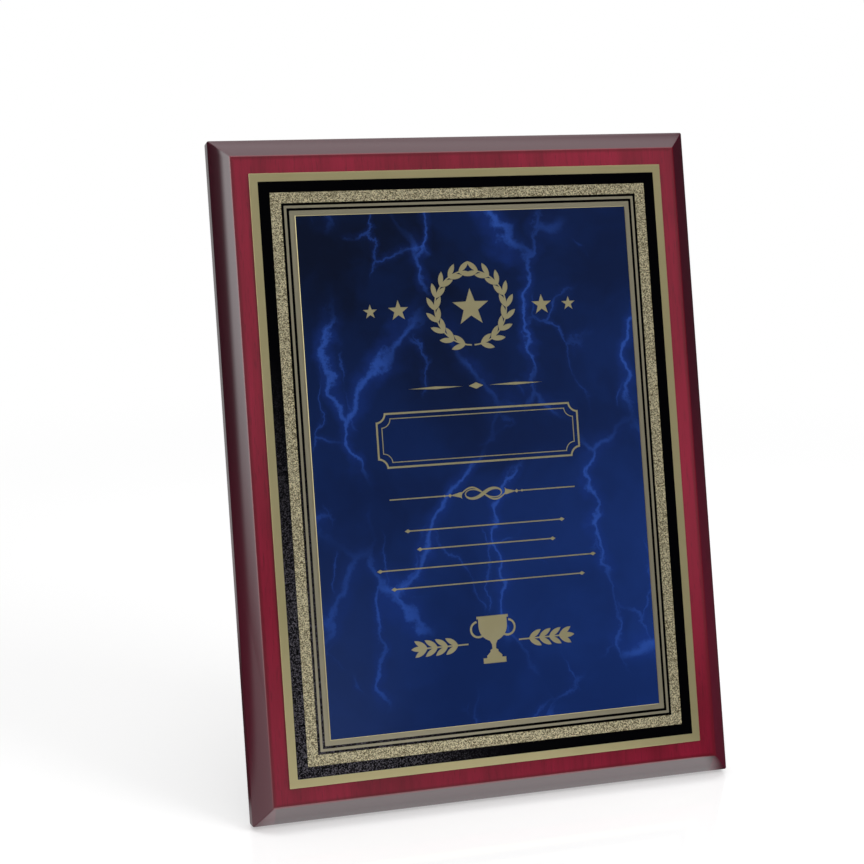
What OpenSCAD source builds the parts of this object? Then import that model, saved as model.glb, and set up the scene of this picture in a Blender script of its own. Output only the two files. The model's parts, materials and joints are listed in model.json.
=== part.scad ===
// Bevelled award plaque on a folding easel leg.
// Each sub-part is drawn with the board upright: X to the right, Z up the board, back face on y = 0
// and front face on y = -board_t, bottom edge on z = 0. stand() then leans it back on the table.

/* [Board] */
// Width of the board
board_w = 227.5; // [212:0.5:300]
// Height of the board
board_h = 304; // [290:0.5:400]
// Whole thickness of the board, with its veneer and backing sheet
board_t = 16; // [14:0.5:22]
// Width of the front bevel, seen from the front
bevel_w = 8.5; // [4:0.5:9]
// Depth of the front bevel, down the side
bevel_d = 8; // [4:0.5:10]
// Rounding of the bevel's two arrises
arris_r = 1.5; // [0.5:0.1:2.5]
// Rounding of the back arrises
back_arris_r = 1; // [0.4:0.1:2]
// Rounding of the outline's four corners
corner_r = 2.5; // [1:0.5:6]
// Thickness of the rosewood veneer on the front
veneer_t = 0.6; // [0.4:0.1:1.2]
// Thickness of the backing sheet
backer_t = 0.8; // [0.5:0.1:1.2]

/* [Stance] */
// Angle that the board leans back from upright
lean = 14.7; // [10:0.1:20]
// Angle between the open easel leg and the board
open_angle = 31; // [27:0.5:36]

/* [Border plate] */
// Width of the metal border plate
plate_w = 195; // [180:0.5:195]
// Height of the metal border plate
plate_h = 271; // [250:0.5:271]
// Thickness of the metal border plate
plate_t = 0.6; // [0.4:0.1:1]
// Thickness of the double-sided tape under it
tape_t = 0.3; // [0.2:0.05:0.8]
// Width of the tape strips
tape_w = 19; // [12:1:25]
// Distance from the plate's edge to the tape
tape_inset = 6; // [3:0.5:12]
// Width of the plain metal edge
edge_w = 3.7; // [2:0.1:5]
// Width of the black band
black_w = 5; // [3:0.1:7]
// Width of the frosted florentine band
frost_w = 4.8; // [3:0.1:7]
// Depth that the frosted band is etched into the plate
frost_depth = 0.1; // [0.05:0.05:0.2]
// Width of each black pinstripe, and of the metal line between the two
pinstripe_w = 1.15; // [0.8:0.05:1.5]
// Width of the metal line round the panel
inner_line_w = 2.3; // [1:0.1:3]
// Thickness of the black screen print
ink_t = 0.05; // [0.03:0.01:0.1]

/* [Panel] */
// Thickness of the metal panel on the border plate
panel_t = 0.5; // [0.4:0.1:1]
// Thickness of the adhesive film under the panel
film_t = 0.1; // [0.05:0.05:0.3]
// Thickness of the marbled enamel on the panel
enamel_t = 0.1; // [0.05:0.01:0.2]
// Radius of the laurel wreath at the head of the panel
wreath_r = 17; // [14:0.5:19]
// Radius of the star in the wreath
star_r = 9; // [6:0.5:10]
// Length of a laurel leaf
leaf_l = 7; // [5:0.5:8]
// Width of a laurel leaf
leaf_w = 2.4; // [1.6:0.1:3]
// Width of the cartouche for a name
cartouche_w = 96; // [80:1:110]
// Height of the cartouche for a name
cartouche_h = 25; // [20:1:27]
// Width of an engraved line
line_w = 0.9; // [0.6:0.1:1.2]
// Whole width of the scrolled divider
divider_w = 88; // [76:1:100]

/* [Easel] */
// Height of the hinge pin up the board's back
hinge_h = 185; // [165:1:200]
// Distance from the board's back to the middle of the hinge pin
hinge_off = 6; // [5.8:0.1:8]
// Radius of the hinge pin
pin_r = 2; // [1.5:0.1:2.2]
// Radial running clearance round the hinge pin
pin_gap = 0.05; // [0.03:0.01:0.1]
// Thickness of the bracket's steel
bracket_t = 1.2; // [1:0.1:1.5]
// Width of the bracket's base
bracket_w = 56; // [54:1:70]
// Height of the bracket's base above and below the pin
bracket_half_h = 19; // [17:0.5:24]
// Distance between the bracket's two ears
ear_gap = 28.8; // [24:0.2:28.8]
// Side play between the leg and an ear
side_play = 0.3; // [0.2:0.1:0.5]
// Thickness of the leg's steel
leg_t = 1; // [0.8:0.1:1.4]
// Depth of the leg's channel
leg_depth = 6.4; // [6:0.1:7]
// Gap between the leg's head and the bracket when the leg is open
stop_gap = 0.1; // [0.05:0.05:0.2]
// Wall of the rubber foot
foot_wall = 1.5; // [1:0.1:1.8]
// Thickness of the rubber foot's sole
sole_t = 3; // [2:0.5:6]
// Length of leg inside the rubber foot
foot_grip = 12; // [8:1:20]

/* [Hanging] */
// Distance from the board's top edge down to the keyhole's round entry
keyhole_drop = 46; // [44:1:64]
// Radius of the keyhole's round entry
keyhole_r = 4.6; // [4:0.1:5.5]
// Width of the keyhole's slot
slot_w = 4.4; // [3.5:0.1:5]
// Length of the slot above the round entry's middle
slot_l = 12; // [10:0.5:14]
// Thickness of the hanger plate
hanger_t = 1.2; // [1:0.1:2]
// Width of the hanger plate
hanger_w = 18; // [16:0.5:24]
// Depth of the pocket behind the hanger plate
pocket_d = 7; // [6:0.5:8]
// Radius of the rubber bumpers on the back
bumper_r = 5.5; // [4:0.5:7]
// Height of the rubber bumpers
bumper_t = 3; // [2:0.5:4]
// Distance from the board's edges to a bumper's middle
bumper_inset = 20; // [12:1:30]

/* [Screws] */
// Radius of the screws' thread
thread_r = 1.6; // [1.2:0.1:1.8]
// Radius of the screws' core
core_r = 1.15; // [0.9:0.05:1.2]
// Pitch of the screws' thread
thread_pitch = 1.3; // [1:0.1:2]
// Radius of the screws' heads
head_r = 3.1; // [2.6:0.1:3.4]
// Height of a pan head
head_h = 2; // [1.4:0.1:2.6]
// Length of a screw under its head
screw_l = 9.5; // [8:0.5:11]
// Clearance of the screws in their holes
screw_gap = 0.1; // [0.05:0.05:0.2]

/* [Hidden] */
$fn = 64;
eps = 0.01;

// The bevel's slope from the side face, and the leg's slope from upright when it is open.
bevel_slope = atan2(bevel_w, bevel_d);
leg_slope = open_angle - lean;

// The easel leg: its channel reaches leg_depth/2 to each side of the pin.
leg_w = ear_gap - 2 * side_play;
leg_half = leg_depth / 2;
ear_r = pin_r + 3;
bracket_corner_r = 4;
pin_head_r = pin_r + 1.6;
pin_head_t = 1.4;
pin_head_gap = 0.1;
leg_slot_w = 8;
leg_slot_l = 68;

// Where the pin and the foot stand over the table, before the part is centred on its footprint.
pin_y = hinge_off * cos(lean) + hinge_h * sin(lean);
settle = back_arris_r * (sin(lean) + cos(lean) - 1);
pin_z = hinge_h * cos(lean) - hinge_off * sin(lean) - settle;
leg_reach = pin_z / cos(leg_slope);
foot_y = pin_y + pin_z * tan(leg_slope);
front_y = bevel_w * sin(lean) - board_t * cos(lean);
back_y = foot_y + (leg_half + foot_wall) / cos(leg_slope);
centre_y = (front_y + back_y) / 2;

// The front's layers, as distances in front of the board's back.
plate_y = board_t + tape_t;
ink_y = plate_y + plate_t;
panel_y = ink_y + film_t;
enamel_y = panel_y + panel_t;

// Insets of the border's lines from the plate's edge.
black_in = edge_w;
frost_in = black_in + black_w;
stripe1_in = frost_in + frost_w;
stripe2_in = stripe1_in + 2 * pinstripe_w;
panel_in = stripe2_in + pinstripe_w + inner_line_w;
panel_w = plate_w - 2 * panel_in;
panel_h = plate_h - 2 * panel_in;
mid_h = board_h / 2;

// Screw places: x and z of the bracket's four and of the hanger's two.
bracket_spots = [for (sx = [-1, 1], sz = [-1, 1])
    [sx * (bracket_w / 2 - head_r - 2), hinge_h + sz * (bracket_half_h - head_r - 2)]];
keyhole_h = board_h - keyhole_drop;
pocket_half_w = keyhole_r + 2.4;
pocket_low = keyhole_h - keyhole_r - 2.4;
pocket_high = keyhole_h + slot_l + 2.4;
hanger_spots = [[0, pocket_low - head_r - 1], [0, pocket_high + head_r + 1]];
hanger_low = hanger_spots[0][1] - head_r - 2.5;
hanger_high = hanger_spots[1][1] + head_r + 2.5;
hanger_gap = 0.1;
sink_depth = head_r - thread_r;
pilot_extra = 1.5;

// The panel's engraving, as heights over the panel's middle.
wreath_z = 72;
rule_z = 36.5;
cartouche_z = 14;
divider_z = -12.5;
blank_lines = [[-27, 76], [-35.5, 66], [-44, 104], [-52.5, 92]];
cup_z = -79;

// ---- Placing ----

module stand() {
    translate([0, -centre_y, -settle]) rotate([-lean, 0, 0]) children();
}

// The leg's own frame: the pin along X, and -Z down the open leg.
module on_leg() {
    translate([0, hinge_off, hinge_h]) rotate([open_angle, 0, 0]) children();
}

// Raises a flat drawing (x, z) forward from y = -from to y = -(from + thick).
module layer(from, thick) {
    translate([0, -from, 0]) rotate([90, 0, 0]) linear_extrude(thick) children();
}

// Raises a flat drawing (x, z) backward from y = from to y = from + thick.
module back_layer(from, thick) {
    translate([0, from + thick, 0]) rotate([90, 0, 0]) linear_extrude(thick) children();
}

module at_spots(spots) {
    for (spot = spots) translate([spot[0], 0, spot[1]]) children();
}

// ---- Flat shapes ----

function arc(cx, cy, r, from, to, steps = 6) =
    [for (i = [0:steps]) let (a = from + (to - from) * i / steps)
        [cx + r * cos(a), cy + r * sin(a)]];

// A ribbon along a line of points, with a half width for each point.
function side_of(points, i) =
    let (a = points[max(i - 1, 0)], b = points[min(i + 1, len(points) - 1)], d = b - a)
        [-d[1], d[0]] / norm(d);
function ribbon(points, half) = concat(
    [for (i = [0:len(points) - 1]) points[i] + half[i] * side_of(points, i)],
    [for (i = [len(points) - 1:-1:0]) points[i] - half[i] * side_of(points, i)]);

module rounded_rect(w, h, r) {
    square([w - 2 * r, h], center = true);
    square([w, h - 2 * r], center = true);
    for (sx = [-1, 1], sy = [-1, 1])
        translate([sx * (w / 2 - r), sy * (h / 2 - r)]) circle(r);
}

// A rectangular ring, given by how far its outer and inner edges lie inside the border plate.
module border_ring(outer_in, inner_in) {
    translate([0, mid_h]) difference() {
        square([plate_w - 2 * outer_in, plate_h - 2 * outer_in], center = true);
        square([plate_w - 2 * inner_in, plate_h - 2 * inner_in], center = true);
    }
}

module star(r) {
    polygon([for (i = [0:9]) let (a = 90 + 36 * i, q = r * (i % 2 == 0 ? 1 : 0.4))
        [q * cos(a), q * sin(a)]]);
}

module lozenge(w, h) {
    polygon([[-w / 2, 0], [0, h / 2], [w / 2, 0], [0, -h / 2]]);
}

// A leaf with its stalk end on the origin, pointing along +X.
module leaf(l = leaf_l, w = leaf_w) {
    r = (l * l / 4 + w * w / 4) / w;
    translate([l / 2, 0]) intersection() {
        translate([0, r - w / 2]) circle(r);
        translate([0, w / 2 - r]) circle(r);
    }
}

// Half a wreath: pairs of leaves up the left side of a circle, from its foot.
module wreath_half(r) {
    pairs = 8;
    for (i = [0:pairs]) let (a = 258 - 19 * i) translate([r * cos(a), r * sin(a)])
        rotate(a - 90) {
            rotate(28) leaf();
            rotate(-28) leaf();
        }
    polygon(ribbon(arc(0, 0, r, 268, 100, 24), [for (i = [0:24]) 0.35]));
}

// A level spray of paired leaves, growing along +X.
module spray(length) {
    pairs = 4;
    for (i = [1:pairs]) translate([length * i / (pairs + 1), 0]) {
        rotate(32) leaf();
        rotate(-32) leaf();
    }
    translate([length - leaf_l * 0.6, 0]) leaf();
    translate([0, -0.35]) square([length - leaf_l * 0.5, 0.7]);
}

module cartouche(w, h, line) {
    notch = 4;
    difference() {
        square([w, h], center = true);
        for (sx = [-1, 1], sy = [-1, 1]) translate([sx * w / 2, sy * h / 2]) circle(notch);
        difference() {
            square([w - 2 * line, h - 2 * line], center = true);
            for (sx = [-1, 1], sy = [-1, 1])
                translate([sx * w / 2, sy * h / 2]) circle(notch + line);
        }
    }
}

// A point of the divider's figure eight, of half width a, at turn t.
function eight(a, b, t) =
    [a * cos(t), b * sin(t) * cos(t)] / (1 + pow(sin(t), 2));

// A scrolled divider: a figure eight within a wave, a horn and two beads at each end, then a rule.
module divider(w) {
    curl_l = 11;
    curl_h = 3;
    steps = 16;
    // The stroke that rises to the right is the thick one.
    for (stroke = [[0, 0.55], [180, 0]]) let (turns = [for (i = [-1:25]) 7.5 * i])
        polygon(ribbon([for (t = turns) eight(8.6, 5.8, t + stroke[0])],
            [for (t = turns) 0.28 + stroke[1] * max(0, sin(t))]));
    wave = [for (i = [-steps:steps]) [curl_l * i / steps, -curl_h * sin(180 * i / steps)]];
    polygon(ribbon(wave, [for (i = [-steps:steps]) 0.25 + 0.15 * abs(sin(180 * i / steps))]));
    for (turn = [0, 180]) rotate(turn) {
        difference() {
            polygon([[9.3, 2.6], [11, 1.2], [15, 0.2], [15, -0.2], [11, -1.2], [10, -1.2]]);
            translate([7.7, 0.9]) circle(2.6);
        }
        translate([15.8, 0]) lozenge(2, 1.8);
        translate([18.4, 0]) lozenge(1.6, 1.3);
        translate([14.8, -0.2]) square([5, 0.4]);
        translate([19, -line_w / 3]) square([w / 2 - 19, line_w * 2 / 3]);
    }
}

// A two-handled cup on a stepped foot, about its middle.
module cup() {
    side = concat([[7.5, 11], [7.5, 9.8], [6.8, 9.8]], arc(-0.4, 6.5, 7.2, 0, -72, 8),
        [[1, -2], [0.9, -4], [1.9, -4.6], [1.9, -5.4], [3.6, -7], [3.6, -8], [5.4, -8],
            [5.4, -10.5]]);
    polygon(concat(side, [for (i = [len(side) - 1:-1:0]) [-side[i][0], side[i][1]]]));
    for (turn = [0, 1]) mirror([turn, 0])
        polygon(ribbon(arc(6.9, 5.2, 3.5, 80, -130, 14), [for (i = [0:14]) 0.5]));
}

// A blank line for an inscription, between two lozenges.
module blank_line(length) {
    square([length - 4, line_w * 2 / 3], center = true);
    for (x = [-1, 1]) translate([x * (length / 2 - 1.5), 0]) lozenge(3, 1.8);
}

// Everything that is engraved through the enamel, about the panel's middle.
module engraving() {
    translate([0, wreath_z]) {
        star(star_r);
        for (turn = [0, 1]) mirror([turn, 0]) {
            wreath_half(wreath_r);
            translate([wreath_r + 17, 0]) star(star_r * 0.55);
            translate([wreath_r + 30, 0]) star(star_r * 0.38);
        }
    }
    translate([0, rule_z]) {
        lozenge(7, 3);
        for (turn = [0, 180]) rotate(turn) translate([19, 0]) lozenge(26, 1.3);
    }
    translate([0, cartouche_z]) {
        cartouche(cartouche_w, cartouche_h, line_w);
        cartouche(cartouche_w - 5, cartouche_h - 5, line_w / 2);
    }
    translate([0, divider_z]) divider(divider_w);
    for (line = blank_lines) translate([0, line[0]]) blank_line(line[1]);
    translate([0, cup_z]) {
        cup();
        for (turn = [0, 1]) mirror([turn, 0]) translate([12, -1]) spray(24);
    }
}

// ---- The board ----

// Section through the board, half across the back, round the side and the bevel to the front.
function half_section(half_w) =
    let (half_turn = bevel_slope / 2, front_turn = (90 + bevel_slope) / 2,
        side = [half_w, bevel_d - board_t]
            - arris_r / cos(half_turn) * [cos(half_turn), -sin(half_turn)],
        front = [half_w - bevel_w, -board_t]
            - arris_r / cos(90 - front_turn) * [cos(front_turn), -sin(front_turn)])
    concat(
        arc(half_w - back_arris_r, -back_arris_r, back_arris_r, 90, 0),
        arc(side[0], side[1], arris_r, 0, -bevel_slope),
        arc(front[0], front[1], arris_r, -bevel_slope, -90));

module section(w) {
    half = half_section(w / 2);
    polygon(concat(half, [for (i = [len(half) - 1:-1:0]) [-half[i][0], half[i][1]]]));
}

// The whole board's outer form, mitred at the corners.
module board_form() {
    intersection() {
        linear_extrude(board_h) section(board_w);
        translate([-board_w / 2, 0, mid_h]) rotate([0, 90, 0])
            linear_extrude(board_w) section(board_h);
        layer(0, board_t) translate([0, mid_h]) rounded_rect(board_w, board_h, corner_r);
    }
}

// The slice of the board between two depths, counted from its back.
module board_slice(from, to) {
    intersection() {
        board_form();
        translate([-board_w, -to, -board_h]) cube([2 * board_w, to - from, 3 * board_h]);
    }
}

// A screw's clearance hole from y = 0 towards -Y, with a seat for a sunk head if it has one.
module screw_hole(depth, countersunk = false) {
    rotate([90, 0, 0]) translate([0, 0, -eps]) {
        cylinder(r = thread_r + screw_gap, h = depth + 2 * eps);
        if (countersunk)
            cylinder(r1 = head_r + screw_gap + eps, r2 = thread_r + screw_gap,
                h = sink_depth + eps);
    }
}

// What is cut into the board's back: the hanger's seat and pocket, and the pilot holes.
module back_cuts() {
    layer(-eps, hanger_t + eps) hanger_outline(hanger_gap);
    layer(-eps, hanger_t + pocket_d + eps)
        translate([-pocket_half_w, pocket_low])
            square([2 * pocket_half_w, pocket_high - pocket_low]);
    at_spots(bracket_spots) screw_hole(screw_l + pilot_extra);
    at_spots(hanger_spots) screw_hole(screw_l + pilot_extra, countersunk = true);
}

module board_core() {
    color([0.36, 0.1, 0.16]) stand() difference() {
        board_slice(backer_t, board_t - veneer_t);
        back_cuts();
    }
}

module rosewood_veneer() {
    color([0.48, 0.12, 0.19]) stand() board_slice(board_t - veneer_t, board_t);
}

module backing_sheet() {
    color([0.16, 0.07, 0.07]) stand() difference() {
        board_slice(0, backer_t);
        back_cuts();
    }
}

// ---- The plates on the front ----

// Two long strips of tape up the sides and two short ones between them.
module plate_tape() {
    strip_h = plate_h - 2 * tape_inset;
    side_x = plate_w / 2 - tape_inset - tape_w;
    color("ivory") stand() layer(board_t, tape_t) translate([0, mid_h]) {
        for (turn = [0, 180]) rotate(turn) {
            translate([side_x, -strip_h / 2]) square([tape_w, strip_h]);
            translate([1 - side_x, strip_h / 2 - tape_w]) square([2 * side_x - 2, tape_w]);
        }
    }
}

module border_plate() {
    color([0.62, 0.58, 0.42]) stand() difference() {
        layer(plate_y, plate_t) translate([0, mid_h]) square([plate_w, plate_h], center = true);
        layer(ink_y - frost_depth, frost_depth + eps) border_ring(frost_in, stripe1_in);
    }
}

module black_border_print() {
    color([0.03, 0.03, 0.05]) stand() layer(ink_y, ink_t) {
        border_ring(black_in, frost_in);
        border_ring(stripe1_in, stripe1_in + pinstripe_w);
        border_ring(stripe2_in, stripe2_in + pinstripe_w);
    }
}

module panel_film() {
    color("ghostwhite") stand() layer(ink_y, film_t)
        translate([0, mid_h]) square([panel_w, panel_h], center = true);
}

module panel_plate() {
    color([0.68, 0.63, 0.46]) stand() layer(panel_y, panel_t)
        translate([0, mid_h]) square([panel_w, panel_h], center = true);
}

module marble_enamel() {
    color([0.08, 0.14, 0.32]) stand() layer(enamel_y, enamel_t)
        translate([0, mid_h]) difference() {
            square([panel_w, panel_h], center = true);
            engraving();
        }
}

// ---- The easel ----

// A wood screw with its head's underside on y = 0, its point towards -Y and its drive at the back.
module screw(countersunk) {
    turns = floor((screw_l - 3.5) / thread_pitch);
    teeth = [for (i = [0:turns - 1]) let (z = 3 + thread_pitch * i)
        each [[core_r, z], [thread_r, z + thread_pitch * 0.25],
            [core_r, z + thread_pitch * 0.5]]];
    top = countersunk ? 0 : -head_h;
    difference() {
        rotate([90, 0, 0]) {
            rotate_extrude() polygon(concat([[0, 0], [core_r, 0]], teeth,
                [[core_r, screw_l - 1.5], [0, screw_l]]));
            if (countersunk) cylinder(r1 = head_r, r2 = core_r, h = head_r - core_r);
            else rotate_extrude() polygon(concat([[0, 0], [head_r, 0]],
                arc(head_r - 1, 1 - head_h, 1, 0, -90, 5), [[0, -head_h]]));
        }
        // The cross-shaped drive recess.
        for (turn = [0, 90]) rotate([0, turn, 0])
            translate([-1.8, -top - 1.1, -0.35]) cube([3.6, 1.2, 0.7]);
    }
}

module ear_drawing() {
    circle(ear_r);
    translate([-hinge_off, -ear_r]) square([hinge_off, 2 * ear_r]);
}

// The leg's head end and the ears turn on this bore.
module pin_bore() {
    translate([-ear_gap, hinge_off, hinge_h]) rotate([0, 90, 0])
        cylinder(r = pin_r + pin_gap, h = 2 * ear_gap);
}

module easel_bracket() {
    color("goldenrod") stand() difference() {
        union() {
            back_layer(0, bracket_t) translate([0, hinge_h])
                rounded_rect(bracket_w, 2 * bracket_half_h, bracket_corner_r);
            for (x = [-ear_gap / 2 - bracket_t, ear_gap / 2])
                translate([x, hinge_off, hinge_h]) rotate([0, 90, 0]) rotate([0, 0, 90])
                    linear_extrude(bracket_t) ear_drawing();
        }
        pin_bore();
        at_spots(bracket_spots) mirror([0, 1, 0]) screw_hole(bracket_t);
    }
}

module bracket_screws() {
    color("silver") stand() at_spots(bracket_spots) translate([0, bracket_t, 0])
        screw(countersunk = false);
}

// A riveted pin: a plain shank with a domed head outside each ear.
module hinge_pin() {
    half = ear_gap / 2 + bracket_t + pin_head_gap;
    dome_r = (pow(pin_head_r, 2) + pow(pin_head_t, 2)) / (2 * pin_head_t);
    color("silver") stand() translate([0, hinge_off, hinge_h]) {
        translate([-half - eps, 0, 0]) rotate([0, 90, 0]) cylinder(r = pin_r, h = 2 * (half + eps));
        for (turn = [0, 180]) rotate([0, 0, turn]) translate([half, 0, 0]) rotate([0, 90, 0])
            rotate_extrude() intersection() {
                translate([0, pin_head_t - dome_r]) circle(dome_r);
                square([pin_head_r, pin_head_t]);
            }
    }
}

// The leg's outline seen from the side, in the leg's own frame, before its head is cut.
module leg_side(length) {
    translate([-leg_half, -length]) square([leg_depth, length + 4 * leg_depth]);
}

// A channel open towards the board, whose head is cut to bear on the bracket when it is open.
module leg_channel(length) {
    intersection() {
        on_leg() difference() {
            translate([-leg_w / 2, 0, 0]) rotate([0, 90, 0]) rotate([0, 0, 90])
                linear_extrude(leg_w) leg_side(length);
            translate([leg_t - leg_w / 2, -leg_depth, -2 * length])
                cube([leg_w - 2 * leg_t, leg_depth + leg_half - leg_t, 4 * length]);
        }
        translate([-leg_w, bracket_t + stop_gap, -board_h])
            cube([2 * leg_w, 2 * board_h, 3 * board_h]);
    }
}

module easel_leg() {
    color("goldenrod") stand() difference() {
        leg_channel(leg_reach - sole_t);
        pin_bore();
        // A long slot that lightens the leg.
        on_leg() translate([0, 0, -leg_reach / 2]) rotate([-90, 0, 0])
            linear_extrude(leg_depth)
                rounded_rect(leg_slot_w, leg_slot_l, leg_slot_w / 2 - eps);
    }
}

// The rubber foot fills and wraps the leg's end, and is cut level with the table.
module leg_foot() {
    color("dimgray") intersection() {
        stand() difference() {
            on_leg() translate([-leg_w / 2 - foot_wall, -leg_half - foot_wall, -leg_reach - sole_t])
                cube([leg_w + 2 * foot_wall, leg_depth + 2 * foot_wall, 2 * sole_t + foot_grip]);
            leg_channel(leg_reach - sole_t);
        }
        translate([-board_w, -board_h, 0]) cube([2 * board_w, 2 * board_h, board_h]);
    }
}

// ---- Hanging hardware and bumpers ----

module hanger_outline(gap = 0) {
    translate([0, (hanger_low + hanger_high) / 2])
        rounded_rect(hanger_w + 2 * gap, hanger_high - hanger_low + 2 * gap, 3 + gap);
}

module keyhole_hanger() {
    color("silver") stand() difference() {
        layer(0, hanger_t) hanger_outline();
        translate([0, eps, keyhole_h]) rotate([90, 0, 0]) {
            cylinder(r = keyhole_r, h = hanger_t + 2 * eps);
            translate([0, slot_l - slot_w / 2, 0])
                cylinder(r = slot_w / 2, h = hanger_t + 2 * eps);
            translate([-slot_w / 2, 0, 0])
                cube([slot_w, slot_l - slot_w / 2, hanger_t + 2 * eps]);
        }
        at_spots(hanger_spots) screw_hole(hanger_t, countersunk = true);
    }
}

module hanger_screws() {
    color("silver") stand() at_spots(hanger_spots) screw(countersunk = true);
}

module back_bumpers() {
    color([0.2, 0.2, 0.2]) stand() for (sx = [-1, 1], z = [bumper_inset, board_h - bumper_inset])
        translate([sx * (board_w / 2 - bumper_inset), 0, z]) rotate([-90, 0, 0])
            rotate_extrude() polygon(concat([[0, 0], [bumper_r, 0]],
                arc(bumper_r - 1, bumper_t - 1, 1, 0, 90), [[0, bumper_t]]));
}

board_core();
rosewood_veneer();
backing_sheet();
plate_tape();
border_plate();
black_border_print();
panel_film();
panel_plate();
marble_enamel();
easel_bracket();
bracket_screws();
hinge_pin();
easel_leg();
leg_foot();
keyhole_hanger();
hanger_screws();
back_bumpers();
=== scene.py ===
import json
import math

import bmesh
import bpy
from mathutils import Matrix, Vector


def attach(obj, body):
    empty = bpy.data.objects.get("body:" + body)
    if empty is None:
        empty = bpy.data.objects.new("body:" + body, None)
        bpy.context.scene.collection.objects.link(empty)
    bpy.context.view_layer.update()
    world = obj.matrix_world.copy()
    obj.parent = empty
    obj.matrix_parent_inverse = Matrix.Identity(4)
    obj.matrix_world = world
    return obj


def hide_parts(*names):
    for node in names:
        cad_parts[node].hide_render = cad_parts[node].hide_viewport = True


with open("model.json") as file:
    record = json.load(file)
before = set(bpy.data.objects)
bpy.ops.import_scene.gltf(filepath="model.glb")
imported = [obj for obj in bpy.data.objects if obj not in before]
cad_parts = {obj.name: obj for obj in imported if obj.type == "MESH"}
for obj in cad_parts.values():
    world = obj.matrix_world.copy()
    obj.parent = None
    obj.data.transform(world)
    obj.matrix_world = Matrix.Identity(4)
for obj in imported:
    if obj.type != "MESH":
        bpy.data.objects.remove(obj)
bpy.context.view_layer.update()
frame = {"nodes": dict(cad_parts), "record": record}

# The board's own axes: x across it, y up it, z out of its front, from the middle of its back.
MM = 0.001
mounts = {mount["name"]: mount for mount in frame["record"]["mounts"]}
ACROSS = Vector((1, 0, 0))
OUT = Vector(mounts["panel_face"]["axis"]).normalized()
UP = OUT.cross(ACROSS)
TURN = Matrix((ACROSS, UP, OUT)).transposed()


def turned_box(node, turn):
    """Lowest and highest corner of a CAD node along the axes of a turned frame."""
    points = [turn @ vertex.co for vertex in frame["nodes"][node].data.vertices]
    low = Vector(min(point[i] for point in points) for i in range(3))
    high = Vector(max(point[i] for point in points) for i in range(3))
    return low, high


core_low, core_high = turned_box("board_core", TURN.transposed())
back_low, _ = turned_box("backing_sheet", TURN.transposed())
middle = (core_low + core_high) / 2
middle.z = back_low.z
BOARD = Matrix.Translation(TURN @ middle) @ TURN.to_4x4()
TO_BOARD = BOARD.inverted()


def board_box(node):
    """Lowest and highest corner of a CAD node in the board's own axes."""
    return turned_box(node, TO_BOARD)


# ---- Camera ----

# The lens, and where it stands from the middle of the board's front.
LENS = 71.75
HEADING = math.radians(15.745)
PITCH = math.radians(-13.305)
STAND = Vector((-0.2271, -0.7240, 0.1951))


def make_camera():
    front = board_box("rosewood_veneer")[1].z
    camera = bpy.data.objects.new("camera", bpy.data.cameras.new("camera"))
    bpy.context.scene.collection.objects.link(camera)
    camera.data.sensor_width = 36
    camera.data.lens = LENS
    camera.location = BOARD @ Vector((0, 0, front)) + STAND
    camera.rotation_euler = (math.pi / 2 + PITCH, 0, -HEADING)
    bpy.context.scene.camera = camera


make_camera()


# ---- Node trees for finishes ----

class Signal:
    """A socket that carries a value. Sums with it add Math nodes."""

    def __init__(self, tree, socket):
        self.tree = tree
        self.socket = socket

    def also(self, name):
        """Another output of the node that made this one."""
        return Signal(self.tree, self.socket.node.outputs[name])

    def math(self, operation, *values):
        return self.tree.add("Math", {"operation": operation}, dict(enumerate(values)))

    def __add__(self, other):
        return self.math("ADD", self, other)

    def __radd__(self, other):
        return self.math("ADD", other, self)

    def __sub__(self, other):
        return self.math("SUBTRACT", self, other)

    def __rsub__(self, other):
        return self.math("SUBTRACT", other, self)

    def __mul__(self, other):
        return self.math("MULTIPLY", self, other)

    def __rmul__(self, other):
        return self.math("MULTIPLY", other, self)

    def __truediv__(self, other):
        return self.math("DIVIDE", self, other)

    def __rtruediv__(self, other):
        return self.math("DIVIDE", other, self)

    def __pow__(self, other):
        return self.math("POWER", self, other)

    def __abs__(self):
        return self.math("ABSOLUTE", self)

    def root(self):
        return self.math("SQRT", self)

    def least(self, other):
        return self.math("MINIMUM", self, other)

    def most(self, other):
        return self.math("MAXIMUM", self, other)

    def rise(self, low, high):
        """0 below low and 1 above high, smooth between. It falls where low is over high."""
        settings = {"interpolation_type": "SMOOTHSTEP"}
        if low < high:
            return self.tree.add("MapRange", settings, {0: self, 1: low, 2: high})
        return self.tree.add(
            "MapRange", settings, {0: self, 1: high, 2: low, 3: 1.0, 4: 0.0})


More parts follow.
